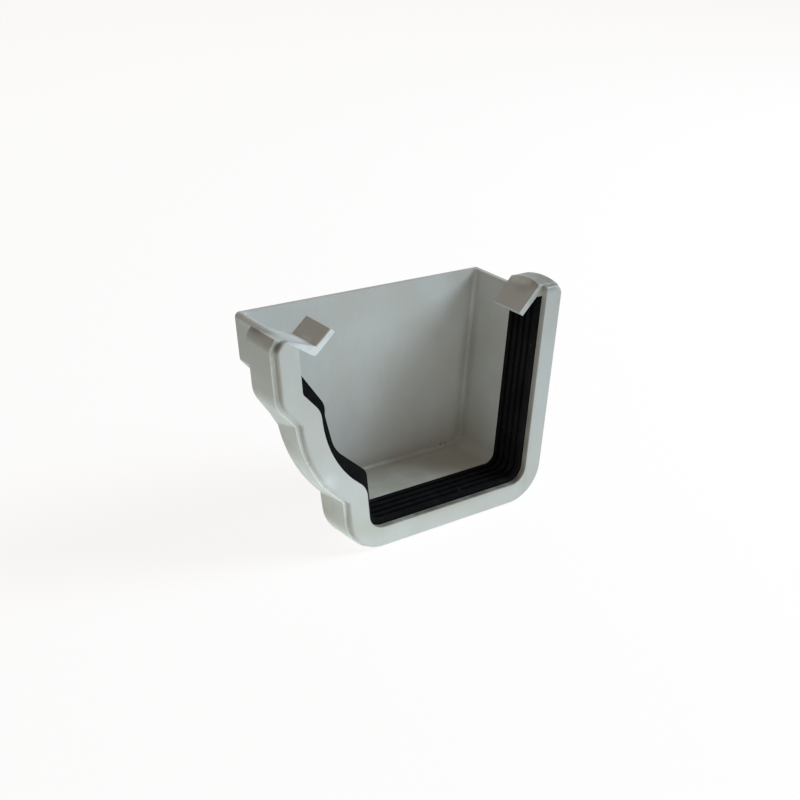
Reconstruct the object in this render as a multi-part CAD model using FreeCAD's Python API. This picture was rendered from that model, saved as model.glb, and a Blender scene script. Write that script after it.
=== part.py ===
import FreeCAD, Part
import os
from math import sin, tan

Vec = FreeCAD.Vector

# Gutter end cap for an ogee gutter, in millimetres.
# X runs across the gutter: the ogee front is at -X and the fascia side at +X.
# Y runs along it: the open socket faces -Y and the end wall is at +Y.
# Z is up. The origin is the middle of the part's underside.

# Depths, measured back from the front face of the rim
TOTAL_DEPTH = 39.5
LIP_DEPTH = 2.4
SEAL_END = 16.5
SHOULDER_END = 18.3
FRONT_CLIP_END = 16.5
REAR_CLIP_END = 16.9
END_WALL = 2.2
FRONT_Y = -TOTAL_DEPTH / 2

# Offsets from the edge of the rim's flat face, outwards positive
RIM_OUTSIDE = 0.8
COLLAR_OUTSIDE = 1.6
GROOVE_FLOOR = -1.4
MOUTH = -7.2
BODY_INSIDE = -9.4

# Edge of the rim's flat face: its straight sides, and the two kinks between the three ogee lobes.
# MIDDLE_X is the middle of the part's whole width, and is moved to X = 0.
MIDDLE_X = -0.37
FASCIA_X = 62.6
BOTTOM_Z = 1.6
TOP_Z = 88.9
FASCIA_CORNER_RADIUS = 13.5
TOE = (-26.5, 1.6)
TOE_RADIUS = 15.0
LOWER_KINK = (-30.4, 23.7)
MIDDLE_LOBE = (-44.7, 39.0)
UPPER_KINK = (-52.1, 58.7)
UPPER_LOBE = (-59.9, 66.6)
UPPER_LOBE_RADIUS = 9.6
FRONT_LEAN = 0.148
KINK_RADIUS = 2.1
COLLAR_KINK_RADIUS = 3.4

OGEE = [LOWER_KINK, MIDDLE_LOBE, UPPER_KINK, UPPER_LOBE]

# The same four corners for the collar, whose upper lobe widens towards the back, and for the body
COLLAR_FRONT_OGEE = [LOWER_KINK, MIDDLE_LOBE, (-52.3, 58.3), (-60.4, 66.4)]
COLLAR_BACK_OGEE = [(-30.8, 21.4), (-43.4, 37.3), (-49.9, 52.9), (-60.4, 66.6)]
BODY_OGEE = [LOWER_KINK, MIDDLE_LOBE, (-52.3, 57.3), (-59.6, 64.7)]

# Crown of the rear arm's top, as depth and height
CROWN = [(LIP_DEPTH, 90.1), (9.0, 91.0), (SHOULDER_END, 89.2)]
CROWN_HEIGHT = CROWN[1][1]

# Tops of the arms, the body's walls and the groove for the seal
RIM_CORNER_RADIUS = 3.0
COLLAR_FASCIA_RADIUS = 3.6
COLLAR_FRONT_RADIUS = 4.6
WALL_TOP_Z = 86.1
WALL_FRONT_RADIUS = 1.8
WALL_FASCIA_RADIUS = 0.5
GROOVE_TOP_Z = 85.7
ABOVE_ALL = 130.0

# Gap between the two arms, and the slope of the rim's top beside the front clip
FRONT_ARM = [(-63.6, 90.3), (-61.4, 89.3)]
REAR_ARM_X = FASCIA_X + MOUTH
REAR_ARM_FOOT = (45.0, 60.0)
RIM_SLOPE = [(-59.4, 88.9), (-54.7, 85.8)]

# Snap clips, as the corners of their cross-sections
FRONT_CLIP = [
    (-58.3, 88.35),
    (-47.0, 84.8),
    (-41.3, 90.1),
    (-39.8, 88.6),
    (-47.2, 81.3),
    (-55.1, 86.1),
    (-58.3, 86.1),
]
FRONT_CLIP_UNDERSIDE = FRONT_CLIP[4]
FRONT_CLIP_TIPS = FRONT_CLIP[2:4]
FRONT_CLIP_ROUND = 1.6
REAR_CLIP = [
    (57.2, 91.3),
    (54.2, 91.3),
    (44.5, 80.8),
    (46.3, 79.2),
    (52.6, 85.7),
    (57.2, 85.7),
]
REAR_CLIP_BEND = REAR_CLIP[1]
REAR_CLIP_TIPS = REAR_CLIP[2:4]
REAR_CLIP_ROUND = 3.0
CLIP_TIP_ROUND = 0.4

# Rubber seal: the line of its rib tips, as corners with a radius each
RIB_TIP_LINE = [
    (53.3, ABOVE_ALL),
    (53.3, 10.9, 4.2),
    (-18.4, 10.9, 6.0),
    (-22.7, 33.0, 5.0),
    (-37.3, 44.9, 15.0),
    (-42.1, 59.0, 6.0),
    (-42.3, 63.0, 7.0),
    (-52.5, 75.8, 2.5),
    (-60.5, ABOVE_ALL),
]
RIBS = 5
RIB_HEIGHT = 1.1
RIB_WIDTH = 1.8
SEAL_TOP_Z = 85.5
SEAL_CLEARANCE = 0.2

# Edge rounding
RIM_FRONT_ROUND = 0.75
COLLAR_FRONT_ROUND = 0.35
COLLAR_BACK_ROUND = 2.7
END_ROUND = 0.5
FLOOR_ROUND = 1.5


def at(x, z, depth=0.0):
    return Vec(x - MIDDLE_X, FRONT_Y + depth, z)


def rounded_corner(before, corner, after, radius):
    """Start, middle and end of the arc that rounds a corner."""
    back = (before - corner).normalize()
    ahead = (after - corner).normalize()
    half = back.getAngle(ahead) / 2
    reach = radius / tan(half)
    middle = corner + (back + ahead).normalize() * (radius / sin(half) - radius)
    return corner + back * reach, middle, corner + ahead * reach


def rounded_path(corners):
    """Straight runs joined by tangent arcs; the first and last corners are the ends."""
    edges = []
    last = at(*corners[0][:2])
    for before, corner, after in zip(corners, corners[1:], corners[2:]):
        start, middle, end = rounded_corner(at(*before[:2]), at(*corner[:2]), at(*after[:2]), corner[2])
        edges.append(Part.makeLine(last, start))
        edges.append(Part.Arc(start, middle, end).toShape())
        last = end
    edges.append(Part.makeLine(last, at(*corners[-1][:2])))
    return edges


def outline(top, front_radius=1.0, fascia_radius=1.0, ogee=OGEE, kink_radius=KINK_RADIUS):
    """Edge of the rim's flat face, closed at the given height."""
    lower_kink, middle_lobe, kink, lobe = ogee
    front_x = lobe[0] - FRONT_LEAN * (top - lobe[1])
    below = rounded_path([
        (0, top),
        (FASCIA_X, top, fascia_radius),
        (FASCIA_X, BOTTOM_Z, FASCIA_CORNER_RADIUS),
        (*TOE, TOE_RADIUS),
        lower_kink,
    ])
    middle = Part.Arc(at(*lower_kink), at(*middle_lobe), at(*kink)).toShape()
    above = rounded_path([
        kink,
        (*lobe, UPPER_LOBE_RADIUS),
        (front_x, top, front_radius),
        (0, top),
    ])
    sharp = Part.Wire(below + [middle] + above)
    return sharp.makeOffset2D(kink_radius).makeOffset2D(-kink_radius)


def layer(wire, offset, start, end):
    """Solid between two depths inside an outline moved outwards by an offset."""
    face = Part.Face(wire.makeOffset2D(offset) if offset else wire)
    face.translate(Vec(0, start, 0))
    return face.extrude(Vec(0, end - start, 0))


def prism(corners, start, end):
    """Solid between two depths with a straight-sided cross-section."""
    points = [at(x, z, start) for x, z in corners]
    face = Part.Face(Part.makePolygon(points + points[:1]))
    return face.extrude(Vec(0, end - start, 0))


def slab(low, high):
    """Everything between two heights."""
    box = Part.makeBox(300, 300, high - low)
    box.translate(Vec(-150, -150, low))
    return box


def round_edges(solid, radius, wanted):
    edges = [edge for edge in solid.Edges if wanted(edge)]
    return solid.makeFillet(radius, edges)


def at_depth(depth):
    """Picks the edges that lie flat at one depth."""
    def wanted(edge):
        box = edge.BoundBox
        return abs(box.YMin - FRONT_Y - depth) < 0.01 and abs(box.YMax - FRONT_Y - depth) < 0.01
    return wanted


def along_depth(*corners):
    """Picks the edges that run back from the given corners of the cross-section."""
    def wanted(edge):
        middle = edge.CenterOfMass
        near = [middle.distanceToPoint(at(x, z, middle.y - FRONT_Y)) < 0.07 for x, z in corners]
        return edge.BoundBox.YLength > 5 and any(near)
    return wanted


def rim():
    flat = outline(TOP_Z, RIM_CORNER_RADIUS, RIM_CORNER_RADIUS)
    plate = layer(flat, RIM_OUTSIDE, 0, LIP_DEPTH)
    plate = round_edges(plate, RIM_FRONT_ROUND, at_depth(0))
    slope_top, slope_foot = RIM_SLOPE
    wedge = [slope_top, (slope_top[0], ABOVE_ALL), (slope_foot[0], ABOVE_ALL), slope_foot]
    return plate.cut(layer(outline(ABOVE_ALL), MOUTH, 0, LIP_DEPTH)).cut(prism(wedge, 0, LIP_DEPTH))


def above_crown():
    """Everything above the arch, from front to back, of the rear arm's top."""
    front, top, back = [Vec(0, FRONT_Y + depth, height) for depth, height in CROWN]
    arch = Part.Arc(front, top, back).toShape()
    lid = [back, Vec(0, back.y, ABOVE_ALL), Vec(0, front.y, ABOVE_ALL), front]
    face = Part.Face(Part.Wire([arch, *Part.makePolygon(lid).Edges]))
    return face.extrude(Vec(FASCIA_X + ABOVE_ALL, 0, 0))


def rear_arm_block():
    """Squares off the collar's corner on the fascia side, to be rounded along the crown."""
    side = FASCIA_X + COLLAR_OUTSIDE
    foot_x, foot_z = REAR_ARM_FOOT
    corners = [(side, foot_z), (side, ABOVE_ALL), (foot_x, ABOVE_ALL), (foot_x, foot_z)]
    return prism(corners, LIP_DEPTH, SHOULDER_END)


def crown_edge(edge):
    """Picks the arched edge where the crown meets the collar's flat side."""
    side = at(FASCIA_X + COLLAR_OUTSIDE, 0).x
    box = edge.BoundBox
    in_side = abs(box.XMin - side) < 0.01 and abs(box.XMax - side) < 0.01
    return in_side and box.ZMin > WALL_TOP_Z and box.YLength > 5


def collar_end(depth, ogee):
    flat = outline(
        CROWN_HEIGHT - COLLAR_OUTSIDE,
        COLLAR_FRONT_RADIUS - COLLAR_OUTSIDE,
        ogee=ogee,
        kink_radius=COLLAR_KINK_RADIUS,
    )
    end = flat.makeOffset2D(COLLAR_OUTSIDE)
    end.translate(Vec(0, depth, 0))
    return end


def collar():
    ends = [collar_end(LIP_DEPTH, COLLAR_FRONT_OGEE), collar_end(SHOULDER_END, COLLAR_BACK_OGEE)]
    sleeve = Part.makeLoft(ends, True, True).fuse(rear_arm_block()).cut(above_crown())
    sleeve = round_edges(sleeve, COLLAR_FASCIA_RADIUS, crown_edge)
    sleeve = round_edges(sleeve, COLLAR_BACK_ROUND, at_depth(SHOULDER_END))
    return round_edges(sleeve, COLLAR_FRONT_ROUND, at_depth(LIP_DEPTH))


def body_outline(top, front_radius=1.0, fascia_radius=1.0):
    return outline(top, front_radius, fascia_radius, BODY_OGEE)


def body():
    edge = body_outline(WALL_TOP_Z - MOUTH, WALL_FRONT_RADIUS - MOUTH, WALL_FASCIA_RADIUS - MOUTH)
    block = layer(edge, MOUTH, SEAL_END, TOTAL_DEPTH)
    return round_edges(block, END_ROUND, at_depth(TOTAL_DEPTH))


def cavity():
    inside = layer(body_outline(ABOVE_ALL), BODY_INSIDE, LIP_DEPTH, TOTAL_DEPTH - END_WALL)
    return round_edges(inside, FLOOR_ROUND, at_depth(TOTAL_DEPTH - END_WALL))


def groove():
    """Space behind the rim's lip that holds the seal."""
    return layer(outline(ABOVE_ALL), GROOVE_FLOOR, LIP_DEPTH, SEAL_END).common(slab(-1, GROOVE_TOP_Z))


def gap_between_arms():
    corners = [
        (FRONT_ARM[0][0], ABOVE_ALL),
        *FRONT_ARM,
        (FRONT_CLIP[1][0], FRONT_CLIP[1][1]),
        (REAR_ARM_X, FRONT_CLIP[1][1]),
        (REAR_ARM_X, ABOVE_ALL),
    ]
    return prism(corners, LIP_DEPTH, SHOULDER_END)


def front_clip():
    clip = prism(FRONT_CLIP, LIP_DEPTH, FRONT_CLIP_END)
    clip = round_edges(clip, FRONT_CLIP_ROUND, along_depth(FRONT_CLIP_UNDERSIDE))
    return round_edges(clip, CLIP_TIP_ROUND, along_depth(*FRONT_CLIP_TIPS))


def rear_clip():
    clip = prism(REAR_CLIP, LIP_DEPTH, REAR_CLIP_END)
    clip = round_edges(clip, REAR_CLIP_ROUND, along_depth(REAR_CLIP_BEND))
    return round_edges(clip, CLIP_TIP_ROUND, along_depth(*REAR_CLIP_TIPS))


def end_cap():
    sleeve = collar()
    arms = sleeve.cut(gap_between_arms())
    shell = arms.fuse(body()).cut(cavity()).cut(groove())
    clips = front_clip().fuse(rear_clip().common(sleeve))
    return shell.fuse(rim()).fuse(clips).removeSplitter()


def rubber_seal():
    strip = layer(outline(ABOVE_ALL), GROOVE_FLOOR, LIP_DEPTH, SEAL_END).common(slab(-1, SEAL_TOP_Z))
    top_edge = Part.makeLine(at(*RIB_TIP_LINE[-1]), at(*RIB_TIP_LINE[0]))
    tips = Part.Wire(rounded_path(RIB_TIP_LINE) + [top_edge])
    strip = strip.cut(layer(tips, 0, LIP_DEPTH, SEAL_END))
    spacing = (SEAL_END - LIP_DEPTH - RIB_WIDTH) / (RIBS - 1)
    for number in range(RIBS - 1):
        groove_start = LIP_DEPTH + RIB_WIDTH + number * spacing
        strip = strip.cut(layer(tips, RIB_HEIGHT, groove_start, groove_start + spacing - RIB_WIDTH))
    under_clip = front_clip()
    under_clip.translate(Vec(0, 0, -SEAL_CLEARANCE))
    return strip.cut(under_clip)


os.makedirs("parts", exist_ok=True)
end_cap().exportStep("parts/end_cap.step")
rubber_seal().exportStep("parts/rubber_seal.step")
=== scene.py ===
import bpy
from collections import namedtuple
from math import cos, radians, sin
from mathutils import Matrix, Vector


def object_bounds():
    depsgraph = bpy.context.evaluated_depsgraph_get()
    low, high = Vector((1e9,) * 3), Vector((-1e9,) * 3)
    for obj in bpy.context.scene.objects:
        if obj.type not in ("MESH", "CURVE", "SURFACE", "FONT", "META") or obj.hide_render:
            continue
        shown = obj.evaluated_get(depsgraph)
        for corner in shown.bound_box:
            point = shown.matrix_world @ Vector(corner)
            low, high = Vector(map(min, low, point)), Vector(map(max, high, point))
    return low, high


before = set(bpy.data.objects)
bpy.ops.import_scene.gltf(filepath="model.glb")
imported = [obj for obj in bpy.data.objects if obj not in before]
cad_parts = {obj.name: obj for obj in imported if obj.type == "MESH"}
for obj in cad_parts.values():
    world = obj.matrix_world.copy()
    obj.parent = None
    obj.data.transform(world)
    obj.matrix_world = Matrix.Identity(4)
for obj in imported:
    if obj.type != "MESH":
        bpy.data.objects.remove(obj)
cad_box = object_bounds()

# Gutter end cap in grey moulded plastic, with its black rubber seal.
# Lengths are in metres, in the part's own frame: the ogee front is at -X, the fascia side at +X,
# the open mouth at -Y and the end wall at +Y.

MM = 0.001
MOUTH_Y = cad_box[0][1]

# Camera, worked out from the straight edges of the part in the photograph
CAMERA_PLACE = Vector((-273.2, -329.8, 239.2)) * MM
CAMERA_AZIMUTH = radians(-40.18)
CAMERA_ELEVATION = radians(23.95)
CAMERA_ROLL = radians(4.44)
SENSOR_WIDTH = 36.0
CAMERA_LENS = 57.35
NEAREST_SEEN = 0.01
FARTHEST_SEEN = 50

# Pale floor, which glows softly near the part; SEEN_GLOW is what the camera sees of the glow
FLOOR_SIZE = 12.0
FLOOR_COLOUR = (0.14, 0.14, 0.14)
FLOOR_ROUGHNESS = 0.9
FLOOR_GLOSS = 0.1
GLOW_CENTRE = (-0.075, -0.085, 0)
GLOW_REACH = 0.36
GLOW_STRENGTH = 1.36
FAR_GLOW = 0.08
GLOW_COLOUR = (0.90, 1.0, 0.99)
SEEN_GLOW = (0.875, 0.862, 0.855)

# One large soft light, high on the right, and a dim warm sky, which the camera sees nearly white
CENTRE = (0, 0, 45 * MM)
KEY_PLACE = (1.32, -0.74, 1.14)
KEY_SIZE = 1.0
KEY_POWER = 36.0
KEY_COLOUR = (0.69, 0.86, 1.0)
SKY_COLOUR = (1.0, 0.915, 0.81)
SKY_STRENGTH = 0.36
SEEN_SKY = (0.925, 0.908, 0.896)

# Sockets of a Mix node that mixes colours: the colour under, the one laid over it, and the result
MIX_UNDER = 6
MIX_OVER = 7
MIX_RESULT = 2

# Noise: how rough it is, and how many finer layers it has in each effect
NOISE_ROUGHNESS = 0.55
PATCH_DETAIL = 4.0
MARK_DETAIL = 3.0
DUST_DETAIL = 3.0
GRAIN_DETAIL = 2.0
WAVE_DETAIL = 1.0

# Marks: one is whole up to a share of its reach, and a noise between two levels makes it ragged,
# from its faintest to its full strength
MARK_CORE = 0.2
RAGGED_LOW = 0.30
RAGGED_HIGH = 0.62
RAGGED_FAINTEST = 0.35

# Dust: it starts where the normal's Z is this, and a noise between two levels makes it uneven
DUST_SLOPE = 0.3
DUST_LOW = 0.3
DUST_HIGH = 0.7
DUST_THINNEST = 0.5

# Moulded grain: its slow waves' scale against its fine part's, the fine part's share, and its depth
WAVE_SCALE = 0.1
FINE_SHARE = 0.6
GRAIN_DEPTH = 0.02 * MM

# Uneven patches: the noise's scale, the levels between which a patch fades in, and the strength
Patches = namedtuple("Patches", "scale low high strength")

# Dust or grain all over: the noise's scale and the strength
Cover = namedtuple("Cover", "scale strength")

# Soft mark: its middle and its reach along each axis, in mm, its strength and the noise's scale
Mark = namedtuple("Mark", "middle reach strength scale")

# Thin band round the mouth: how far behind its front it starts and ends, in mm, and its patches
Band = namedtuple("Band", "start end patches")

# Grey plastic
PLASTIC_COLOUR = (0.52, 0.52, 0.50)
PLASTIC_WARM = (0.49, 0.48, 0.445)
# pale colour of the painted highlights
HIGHLIGHT_COLOUR = (0.80, 0.81, 0.81)
STREAK_COLOUR = (0.40, 0.39, 0.35)
DUST_COLOUR = (0.26, 0.235, 0.205)
# yellowed stain colour, also used for painted shade
STAIN_AND_SHADE_COLOUR = (0.40, 0.39, 0.315)
# dark brown for grime and for painted shade
GRIME_AND_SHADE_COLOUR = (0.12, 0.09, 0.065)
PLASTIC_SMOOTHEST = 0.36
PLASTIC_ROUGHEST = 0.48
PLASTIC_MOTTLE = Patches(42.0, 0.34, 0.70, 1.0)
PLASTIC_STREAKS = Patches(620.0, 0.50, 0.74, 0.14)
STREAK_STRETCH = (1.0, 1.0, 0.12)
PLASTIC_WEAR = Patches(160.0, 0.35, 0.65, 1.0)
PLASTIC_DUST = Cover(110.0, 0.16)
# thick dust for the arms' tops, where it also stands for painted shade
THICK_DUST_AND_SHADE = Cover(110.0, 1.0)
PLASTIC_GRAIN = Cover(3200.0, 0.35)

# Ogee side: it fades in from one X to another. Its outer faces get a stain with painted shade
# where they stand upright, which is where the normal's X lies past the second of two values.
OGEE_START = -14.0 * MM
OGEE_FULL = -22.0 * MM
SLANTED_FACE = -0.80
UPRIGHT_FACE = -0.95
OGEE_STAIN_AND_SHADE = Patches(55.0, 0.10, 0.50, 0.42)

# On the ogee side, the lip is darker behind its front and the collar's front edge has a painted
# highlight.
# A band fades in over the first length and out over the second, in mm.
LIP_DARK_BAND = Band(0.3, 2.1, Patches(210.0, 0.20, 0.55, 0.30))
EDGE_HIGHLIGHT_BAND = Band(2.2, 3.0, Patches(210.0, 0.20, 0.55, 0.75))
BAND_FADE_IN = 0.1
BAND_FADE_OUT = 0.2

# Painted highlights: pale patches on the arms, the clips and the collar, where the light falls
# brightest
ARM_HIGHLIGHT = Mark((-54.0, 8.0, 85.0), (6.0, 40.0, 4.0), 0.60, 90.0)
BEND_HIGHLIGHT = Mark((53.0, -7.0, 90.0), (4.5, 8.0, 3.0), 1.0, 90.0)
LEG_HIGHLIGHT = Mark((-48.9, -10.5, 85.8), (4.4, 6.0, 3.0), 0.60, 90.0)
LOBE_HIGHLIGHT = Mark((-40.5, -17.9, 33.0), (7.0, 4.0, 7.5), 0.75, 90.0)
PAINTED_HIGHLIGHTS = (ARM_HIGHLIGHT, BEND_HIGHLIGHT, LEG_HIGHLIGHT, LOBE_HIGHLIGHT)

# Yellowed stains on the lip, and on the socket's floor a yellowed stain that is partly painted shade
FLOOR_STAIN_AND_SHADE = Mark((0.0, -2.0, 11.0), (74.0, 36.0, 9.0), 0.85, 55.0)
RIGHT_LIP_STAIN = Mark((56.0, -18.4, 40.0), (3.0, 1.7, 70.0), 0.85, 55.0)
LEFT_LIP_STAIN = Mark((-62.0, -18.4, 66.0), (6.0, 1.7, 30.0), 0.85, 55.0)
STAINS_AND_SHADE = (FLOOR_STAIN_AND_SHADE, RIGHT_LIP_STAIN, LEFT_LIP_STAIN)

# Darker brown along the lip, and painted shade on the lip's top beside the dome
LOW_LIP_DARKENING = Mark((24.0, -18.3, 8.8), (86.0, 1.75, 4.2), 0.98, 90.0)
LIP_CORNER_DARKENING = Mark((47.0, -18.4, 9.5), (12.0, 1.7, 5.0), 0.45, 60.0)
LIP_SIDE_DARKENING = Mark((56.0, -18.4, 16.0), (3.0, 1.7, 52.0), 0.54, 90.0)
# painted shade over the lit edges of the lip's top beside the dome
LIP_TOP_SHADE = Mark((59.5, -18.2, 89.4), (7.0, 2.4, 2.8), 0.50, 150.0)
LIP_DARKENING = (LOW_LIP_DARKENING, LIP_CORNER_DARKENING, LIP_SIDE_DARKENING, LIP_TOP_SHADE)

# Brown grime with painted shade on the socket's floor, and painted shade on the fascia side and in the
# corner beside the end wall
FLOOR_GRIME_AND_SHADE = Mark((0.0, 5.0, 11.0), (50.0, 24.0, 9.0), 0.21, 55.0)
# painted shade in the corner and over its fillet, beside the end wall
CORNER_SHADE = Mark((52.0, 16.0, 44.0), (4.5, 4.5, 60.0), 0.27, 70.0)
CREASE_SHADE = Mark((52.7, 17.1, 44.0), (1.5, 1.5, 60.0), 0.15, 70.0)
# painted shade on the fascia side's inner face
SIDE_SHADE = Mark((52.6, 4.0, 45.0), (2.9, 28.0, 62.0), 0.13, 60.0)
SOCKET_DIRT_AND_SHADE = (FLOOR_GRIME_AND_SHADE, CORNER_SHADE, CREASE_SHADE, SIDE_SHADE)

# Brown grime with painted shade low on the end wall, a painted shadow at its top right, and two dark
# spots
WALL_GRIME_AND_SHADE = Mark((12.0, 16.5, 28.0), (56.0, 3.0, 38.0), 0.18, 60.0)
# painted shadow of the fascia arm at the end wall's top right
WALL_TOP_SHADOW = Mark((47.0, 16.8, 82.0), (13.0, 3.0, 20.0), 0.16, 60.0)
FIRST_SPOT = Mark((43.6, 17.5, 12.4), (1.0, 1.0, 1.0), 0.65, 400.0)
SECOND_SPOT = Mark((46.0, 17.4, 12.3), (0.9, 0.9, 0.9), 0.65, 400.0)
WALL_DIRT_AND_SHADE = (WALL_GRIME_AND_SHADE, WALL_TOP_SHADOW, FIRST_SPOT, SECOND_SPOT)

# Darker brown under the lobes
MIDDLE_LOBE_DARKENING = Mark((-48.0, -3.0, 45.0), (9.0, 24.0, 12.0), 0.26, 60.0)
LOWER_LOBE_DARKENING = Mark((-30.0, -3.0, 15.0), (9.0, 24.0, 12.0), 0.25, 60.0)
LOBE_DARKENING = (MIDDLE_LOBE_DARKENING, LOWER_LOBE_DARKENING)

# Brown grime with painted shade on the left arm's up-facing top, painted shade on the rim's top corner
# and on the domed right arm, and darker patches by its clip
ARM_SMUDGE_AND_SHADE = Mark((-64.2, -11.5, 88.2), (4.5, 9.5, 4.2), 0.08, 130.0)
# painted shade on the rim's up-facing top corner
RIM_TOP_SHADE = Mark((-62.6, -18.0, 88.2), (2.8, 2.6, 3.2), 0.60, 200.0)
BEND_DARKENING = Mark((51.6, -11.5, 87.4), (4.0, 6.5, 2.5), 0.20, 150.0)
# painted shade over the lit top and edges of the dome
DOME_SHADE = Mark((58.0, -16.6, 89.8), (9.0, 5.5, 4.0), 0.70, 150.0)
CLIP_DARKENING = Mark((51.0, -17.3, 84.6), (3.5, 1.8, 4.0), 0.32, 150.0)
ARM_DIRT_AND_SHADE = (ARM_SMUDGE_AND_SHADE, RIM_TOP_SHADE, BEND_DARKENING, DOME_SHADE, CLIP_DARKENING)

# Dust that lies thicker on top of both arms, with painted shade on these up-facing tops
ARM_DUST_AND_SHADE = Mark((-61.0, -5.0, 89.2), (7.0, 10.0, 4.0), 1.0, 90.0)
DOME_DUST_AND_SHADE = Mark((59.0, -12.0, 90.5), (11.0, 10.0, 6.0), 0.9, 90.0)
DUSTY_SHADED_TOPS = (ARM_DUST_AND_SHADE, DOME_DUST_AND_SHADE)

# Fine specks low on the end wall
SPECK_AREA = Mark((42.0, 16.8, 14.0), (26.0, 2.6, 12.0), 0.55, 60.0)
SPECKS = Patches(800.0, 0.60, 0.68, 1.0)

# Black rubber, worn grey on the fascia side, with a scratch on the floor and a fleck on that side
RUBBER_COLOUR = (0.0026, 0.0026, 0.0030)
RUBBER_GREY = (0.0070, 0.0070, 0.0076)
RUBBER_WORN = (0.0125, 0.0122, 0.0138)
SCRATCH_COLOUR = (0.055, 0.056, 0.055)
RUBBER_GLOSS = 0.06
RUBBER_SMOOTHEST = 0.60
RUBBER_ROUGHEST = 0.75
RUBBER_MOTTLE = Patches(240.0, 0.45, 0.75, 1.0)
RUBBER_WEAR = Patches(500.0, 0.40, 0.70, 1.0)
RUBBER_DUST = Cover(900.0, 0.006)
RUBBER_GRAIN = Cover(2600.0, 0.5)
SEAL_WEAR = Mark((54.0, -13.0, 46.0), (7.0, 14.0, 60.0), 0.9, 60.0)
SEAL_SCRATCH = Mark((26.6, -14.3, 10.4), (0.7, 2.4, 1.6), 0.8, 500.0)
SEAL_FLECK = Mark((53.8, -16.5, 65.9), (0.9, 0.7, 0.6), 1.0, 500.0)


def camera():
    """Camera at the photograph's place, looking with its azimuth, elevation and roll."""
    level = Vector((cos(CAMERA_AZIMUTH), sin(CAMERA_AZIMUTH), 0))
    forward = Vector((
        -sin(CAMERA_AZIMUTH) * cos(CAMERA_ELEVATION),
        cos(CAMERA_AZIMUTH) * cos(CAMERA_ELEVATION),
        -sin(CAMERA_ELEVATION),
    ))
    right = Matrix.Rotation(-CAMERA_ROLL, 3, forward) @ level
    up = right.cross(forward)
    turn = Matrix((right, up, -forward)).transposed()
    data = bpy.data.cameras.new("camera")
    data.sensor_width = SENSOR_WIDTH
    data.lens = CAMERA_LENS
    data.clip_start = NEAREST_SEEN
    data.clip_end = FARTHEST_SEEN
    found = bpy.data.objects.new("camera", data)
    bpy.context.scene.collection.objects.link(found)
    found.matrix_world = Matrix.Translation(CAMERA_PLACE) @ turn.to_4x4()
    bpy.context.scene.camera = found
    bpy.context.scene.view_settings.view_transform = "Standard"


def key_light():
    data = bpy.data.lights.new("key_light", "AREA")
    data.shape = "DISK"
    data.size = KEY_SIZE
    data.energy = KEY_POWER
    data.color = KEY_COLOUR
    key = bpy.data.objects.new("key_light", data)
    key.location = KEY_PLACE
    key.rotation_euler = (Vector(CENTRE) - Vector(KEY_PLACE)).to_track_quat("-Z", "Y").to_euler()
    bpy.context.scene.collection.objects.link(key)


def place_node(tree, kind, inputs=None, **settings):
    """A new node with its settings, and with values or links put into its inputs."""
    node = tree.nodes.new(kind)
    for name, value in settings.items():
        setattr(node, name, value)
    for name, value in (inputs or {}).items():
        if isinstance(value, bpy.types.NodeSocket):
            tree.links.new(value, node.inputs[name])
        else:
            node.inputs[name].default_value = value
    return node


def product(tree, first, second):
    """Two masks, or a mask and a strength, multiplied and kept between 0 and 1."""
    inputs = {0: first, 1: second}
    node = place_node(tree, "ShaderNodeMath", inputs, operation="MULTIPLY", use_clamp=True)
    return node.outputs["Value"]


def vector_node(tree, operation, first, second, result="Vector"):
    inputs = {0: first, 1: second}
    return place_node(tree, "ShaderNodeVectorMath", inputs, operation=operation).outputs[result]


def along(tree, vector, axis):
    """A vector's part along one axis."""
    return place_node(tree, "ShaderNodeSeparateXYZ", {"Vector": vector}).outputs[axis]


def fade(tree, value, low, high, start=0.0, end=1.0):
    """Smooth change from start, where the value is low, to end, where it is high."""
    inputs = {"Value": value, "From Min": low, "From Max": high, "To Min": start, "To Max": end}
    node = place_node(tree, "ShaderNodeMapRange", inputs, interpolation_type="SMOOTHSTEP")
    return node.outputs["Result"]


def noise(tree, place, scale, detail):
    inputs = {"Vector": place, "Scale": scale, "Detail": detail, "Roughness": NOISE_ROUGHNESS}
    return place_node(tree, "ShaderNodeTexNoise", inputs).outputs["Fac"]


def mix_number(tree, mask, under, over):
    inputs = {"Factor": mask, "A": under, "B": over}
    return place_node(tree, "ShaderNodeMix", inputs).outputs["Result"]


def mix_colour(tree, mask, under, over):
    """One colour laid over another where the mask is high."""
    node = place_node(tree, "ShaderNodeMix", {"Factor": mask}, data_type="RGBA")
    for socket, value in ((node.inputs[MIX_UNDER], under), (node.inputs[MIX_OVER], over)):
        if isinstance(value, bpy.types.NodeSocket):
            tree.links.new(value, socket)
        else:
            socket.default_value = (*value, 1)
    return node.outputs[MIX_RESULT]


def seen_by_camera(tree):
    return place_node(tree, "ShaderNodeLightPath").outputs["Is Camera Ray"]


def new_material(name):
    """A material with its node tree, its shader and the Object coordinates that it reads."""
    material = bpy.data.materials.new(name)
    material.use_nodes = True
    tree = material.node_tree
    place = place_node(tree, "ShaderNodeTexCoord").outputs["Object"]
    return material, tree, tree.nodes["Principled BSDF"], place


def sky():
    """Dim warm light from all round, which the camera sees as a nearly white backdrop."""
    world = bpy.data.worlds.new("studio")
    world.use_nodes = True
    tree = world.node_tree
    background = tree.nodes["Background"]
    seen = seen_by_camera(tree)
    tree.links.new(mix_colour(tree, seen, SKY_COLOUR, SEEN_SKY), background.inputs["Color"])
    tree.links.new(mix_number(tree, seen, SKY_STRENGTH, 1.0), background.inputs["Strength"])
    bpy.context.scene.world = world


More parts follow.
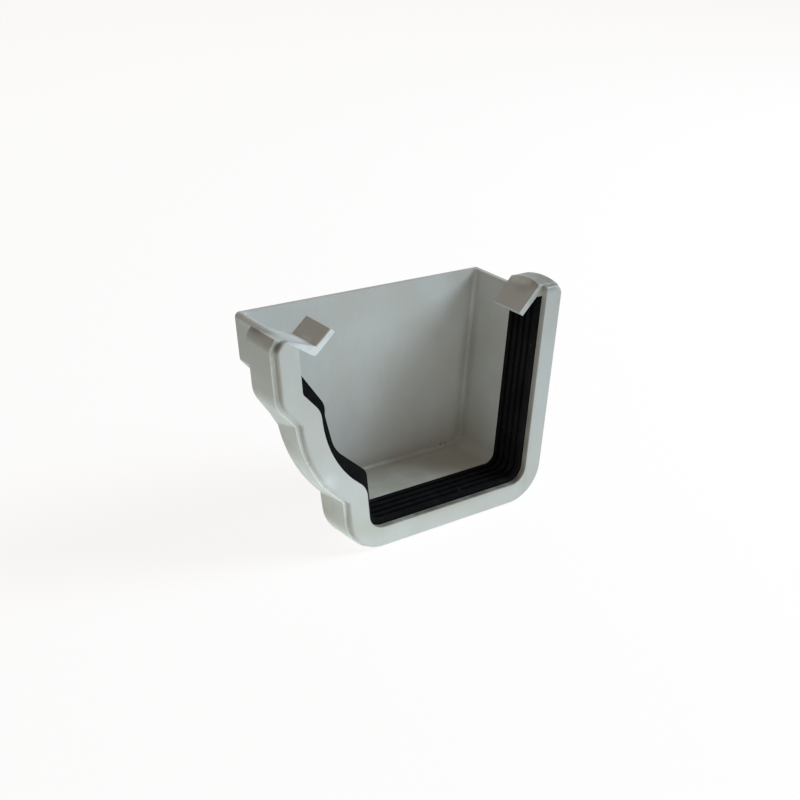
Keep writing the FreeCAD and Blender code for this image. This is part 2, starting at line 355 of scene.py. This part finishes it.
def floor():
    """Pale floor; its glow lights the part, and what the camera sees of it stays just under white."""
    bpy.ops.mesh.primitive_plane_add(size=FLOOR_SIZE)
    plane = bpy.context.object
    plane.name = "floor"
    material, tree, shader, place = new_material("pale_floor")
    shader.inputs["Base Color"].default_value = (*FLOOR_COLOUR, 1)
    shader.inputs["Roughness"].default_value = FLOOR_ROUGHNESS
    shader.inputs["Specular IOR Level"].default_value = FLOOR_GLOSS
    away = vector_node(tree, "DISTANCE", place, GLOW_CENTRE, "Value")
    glow = fade(tree, away, GLOW_REACH, 0.0, FAR_GLOW, GLOW_STRENGTH)
    seen = seen_by_camera(tree)
    tree.links.new(mix_colour(tree, seen, GLOW_COLOUR, SEEN_GLOW), shader.inputs["Emission Color"])
    tree.links.new(mix_number(tree, seen, glow, 1.0), shader.inputs["Emission Strength"])
    plane.data.materials.append(material)


def new_group(name, inputs, output):
    """An empty node group: its tree, the sockets that it is given, and the one that it fills."""
    tree = bpy.data.node_groups.new(name, "ShaderNodeTree")
    for label, kind in inputs.items():
        tree.interface.new_socket(label, in_out="INPUT", socket_type=kind)
    tree.interface.new_socket(output, in_out="OUTPUT", socket_type="NodeSocketFloat")
    given = tree.nodes.new("NodeGroupInput").outputs
    filled = tree.nodes.new("NodeGroupOutput").inputs[output]
    return tree, given, filled


def patches_group():
    """Soft uneven patches, between two levels of a noise."""
    inputs = {
        "Place": "NodeSocketVector",
        "Scale": "NodeSocketFloat",
        "Low": "NodeSocketFloat",
        "High": "NodeSocketFloat",
    }
    tree, given, filled = new_group("soft_patches", inputs, "Mask")
    clouds = noise(tree, given["Place"], given["Scale"], PATCH_DETAIL)
    tree.links.new(fade(tree, clouds, given["Low"], given["High"]), filled)
    return tree


def mark_group():
    """One soft, ragged mark around a middle point, out to its reach along each axis."""
    inputs = {
        "Place": "NodeSocketVector",
        "Middle": "NodeSocketVector",
        "Reach": "NodeSocketVector",
        "Scale": "NodeSocketFloat",
        "Strength": "NodeSocketFloat",
    }
    tree, given, filled = new_group("soft_mark", inputs, "Mask")
    offset = vector_node(tree, "SUBTRACT", given["Place"], given["Middle"])
    away = vector_node(tree, "DIVIDE", offset, given["Reach"])
    distance = vector_node(tree, "LENGTH", away, (0, 0, 0), "Value")
    clouds = noise(tree, given["Place"], given["Scale"], MARK_DETAIL)
    ragged = fade(tree, clouds, RAGGED_LOW, RAGGED_HIGH, RAGGED_FAINTEST, 1.0)
    mask = product(tree, fade(tree, distance, 1.0, MARK_CORE), ragged)
    tree.links.new(product(tree, mask, given["Strength"]), filled)
    return tree


def dust_group():
    """Dust that has settled on what faces upwards; on the arms' tops it also stands for painted shade.
    """
    inputs = {"Place": "NodeSocketVector", "Scale": "NodeSocketFloat", "Strength": "NodeSocketFloat"}
    tree, given, filled = new_group("settled_dust", inputs, "Mask")
    normal = place_node(tree, "ShaderNodeNewGeometry").outputs["Normal"]
    clouds = noise(tree, given["Place"], given["Scale"], DUST_DETAIL)
    uneven = fade(tree, clouds, DUST_LOW, DUST_HIGH, DUST_THINNEST, 1.0)
    mask = product(tree, fade(tree, along(tree, normal, "Z"), DUST_SLOPE, 1.0), uneven)
    tree.links.new(product(tree, mask, given["Strength"]), filled)
    return tree


def grain_group():
    """Height of a fine moulded grain on slow waves, for a bump."""
    inputs = {"Place": "NodeSocketVector", "Scale": "NodeSocketFloat"}
    tree, given, filled = new_group("moulded_grain", inputs, "Height")
    wide = place_node(tree, "ShaderNodeMath", {0: given["Scale"], 1: WAVE_SCALE}, operation="MULTIPLY")
    fine = noise(tree, given["Place"], given["Scale"], GRAIN_DETAIL)
    waves = noise(tree, given["Place"], wide.outputs["Value"], WAVE_DETAIL)
    tree.links.new(mix_number(tree, FINE_SHARE, waves, fine), filled)
    return tree


def patches(tree, place, made):
    inputs = {"Place": place, "Scale": made.scale, "Low": made.low, "High": made.high}
    mask = place_node(tree, "ShaderNodeGroup", inputs, node_tree=PATCHES).outputs["Mask"]
    return product(tree, mask, made.strength)


def mark(tree, place, made):
    inputs = {
        "Place": place,
        "Middle": Vector(made.middle) * MM,
        "Reach": Vector(made.reach) * MM,
        "Scale": made.scale,
        "Strength": made.strength,
    }
    return place_node(tree, "ShaderNodeGroup", inputs, node_tree=MARK).outputs["Mask"]


def dust(tree, place, made):
    inputs = {"Place": place, "Scale": made.scale, "Strength": made.strength}
    return place_node(tree, "ShaderNodeGroup", inputs, node_tree=DUST).outputs["Mask"]


def lay_marks(tree, place, colour, marks, over):
    """A colour with marks of another colour laid on it, one after the other."""
    for made in marks:
        colour = mix_colour(tree, mark(tree, place, made), colour, over)
    return colour


def uneven_roughness(tree, shader, place, made, smoothest, roughest):
    rough = fade(tree, patches(tree, place, made), 0.0, 1.0, smoothest, roughest)
    tree.links.new(rough, shader.inputs["Roughness"])


def grain_bump(tree, shader, place, made):
    grain = place_node(tree, "ShaderNodeGroup", {"Place": place, "Scale": made.scale}, node_tree=GRAIN)
    inputs = {"Height": grain.outputs["Height"], "Strength": made.strength, "Distance": GRAIN_DEPTH}
    bump = place_node(tree, "ShaderNodeBump", inputs)
    tree.links.new(bump.outputs["Normal"], shader.inputs["Normal"])


def ogee_side(tree, place):
    """Mask of the part's ogee side."""
    return fade(tree, along(tree, place, "X"), OGEE_START, OGEE_FULL)


def ogee_band(tree, place, made):
    """Mask of a thin band that runs down behind the mouth's front, on its ogee side."""
    start = MOUTH_Y + made.start * MM
    end = MOUTH_Y + made.end * MM
    depth = along(tree, place, "Y")
    behind = fade(tree, depth, start - BAND_FADE_IN * MM, start)
    before = fade(tree, depth, end + BAND_FADE_OUT * MM, end)
    band = product(tree, product(tree, behind, before), ogee_side(tree, place))
    return product(tree, band, patches(tree, place, made.patches))


def ogee_stain_and_shade(tree, place):
    """Mask of the stain and painted shade on the upright outer faces of the ogee side."""
    normal = place_node(tree, "ShaderNodeNewGeometry").outputs["Normal"]
    upright = fade(tree, along(tree, normal, "X"), SLANTED_FACE, UPRIGHT_FACE)
    face = product(tree, ogee_side(tree, place), upright)
    return product(tree, face, patches(tree, place, OGEE_STAIN_AND_SHADE))


def clean_plastic(tree, place):
    """Grey that is slightly mottled, with faint upright streaks and a thin cover of dust."""
    stretched = place_node(tree, "ShaderNodeMapping", {"Vector": place, "Scale": STREAK_STRETCH})
    streaks = patches(tree, stretched.outputs["Vector"], PLASTIC_STREAKS)
    colour = mix_colour(tree, patches(tree, place, PLASTIC_MOTTLE), PLASTIC_COLOUR, PLASTIC_WARM)
    colour = mix_colour(tree, streaks, colour, STREAK_COLOUR)
    return mix_colour(tree, dust(tree, place, PLASTIC_DUST), colour, DUST_COLOUR)


def used_plastic(tree, place):
    """The plastic with painted highlights, yellow stains and brown grime, with painted shade in
    several of these marks.
    """
    # painted highlights laid on the clean plastic
    colour = lay_marks(tree, place, clean_plastic(tree, place), PAINTED_HIGHLIGHTS, HIGHLIGHT_COLOUR)
    # stain with painted shade on the ogee side's upright faces
    colour = mix_colour(tree, ogee_stain_and_shade(tree, place), colour, STAIN_AND_SHADE_COLOUR)
    # painted highlight on the collar's front edge, ogee side
    colour = mix_colour(tree, ogee_band(tree, place, EDGE_HIGHLIGHT_BAND), colour, HIGHLIGHT_COLOUR)
    # darker band on the lip behind its front, ogee side
    colour = mix_colour(tree, ogee_band(tree, place, LIP_DARK_BAND), colour, GRIME_AND_SHADE_COLOUR)
    # yellowed stains; the one on the socket's floor is partly painted shade
    colour = lay_marks(tree, place, colour, STAINS_AND_SHADE, STAIN_AND_SHADE_COLOUR)
    # brown marks of grime, several of them painted shade
    for dark_marks in (LIP_DARKENING, SOCKET_DIRT_AND_SHADE, WALL_DIRT_AND_SHADE, LOBE_DARKENING, ARM_DIRT_AND_SHADE):
        colour = lay_marks(tree, place, colour, dark_marks, GRIME_AND_SHADE_COLOUR)
    # thicker dust with painted shade on the arms' tops
    for made in DUSTY_SHADED_TOPS:
        thick = product(tree, dust(tree, place, THICK_DUST_AND_SHADE), mark(tree, place, made))
        colour = mix_colour(tree, thick, colour, GRIME_AND_SHADE_COLOUR)
    specks = product(tree, patches(tree, place, SPECKS), mark(tree, place, SPECK_AREA))
    return mix_colour(tree, specks, colour, GRIME_AND_SHADE_COLOUR)


def used_rubber(tree, place):
    """Black rubber, greyer in patches and where it is worn, with a scratch and a fleck."""
    colour = mix_colour(tree, patches(tree, place, RUBBER_MOTTLE), RUBBER_COLOUR, RUBBER_GREY)
    colour = mix_colour(tree, dust(tree, place, RUBBER_DUST), colour, DUST_COLOUR)
    colour = mix_colour(tree, mark(tree, place, SEAL_WEAR), colour, RUBBER_WORN)
    return lay_marks(tree, place, colour, (SEAL_SCRATCH, SEAL_FLECK), SCRATCH_COLOUR)


def plastic():
    material, tree, shader, place = new_material("grey_plastic")
    tree.links.new(used_plastic(tree, place), shader.inputs["Base Color"])
    uneven_roughness(tree, shader, place, PLASTIC_WEAR, PLASTIC_SMOOTHEST, PLASTIC_ROUGHEST)
    grain_bump(tree, shader, place, PLASTIC_GRAIN)
    return material


def rubber():
    material, tree, shader, place = new_material("black_rubber")
    shader.inputs["Specular IOR Level"].default_value = RUBBER_GLOSS
    tree.links.new(used_rubber(tree, place), shader.inputs["Base Color"])
    uneven_roughness(tree, shader, place, RUBBER_WEAR, RUBBER_SMOOTHEST, RUBBER_ROUGHEST)
    grain_bump(tree, shader, place, RUBBER_GRAIN)
    return material


def dress(node, material):
    """Gives a node this material in place of its plain one."""
    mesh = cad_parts[node].data
    mesh.materials.clear()
    mesh.materials.append(material)


PATCHES = patches_group()
MARK = mark_group()
DUST = dust_group()
GRAIN = grain_group()

camera()
key_light()
sky()
floor()
dress("end_cap", plastic())
dress("rubber_seal", rubber())
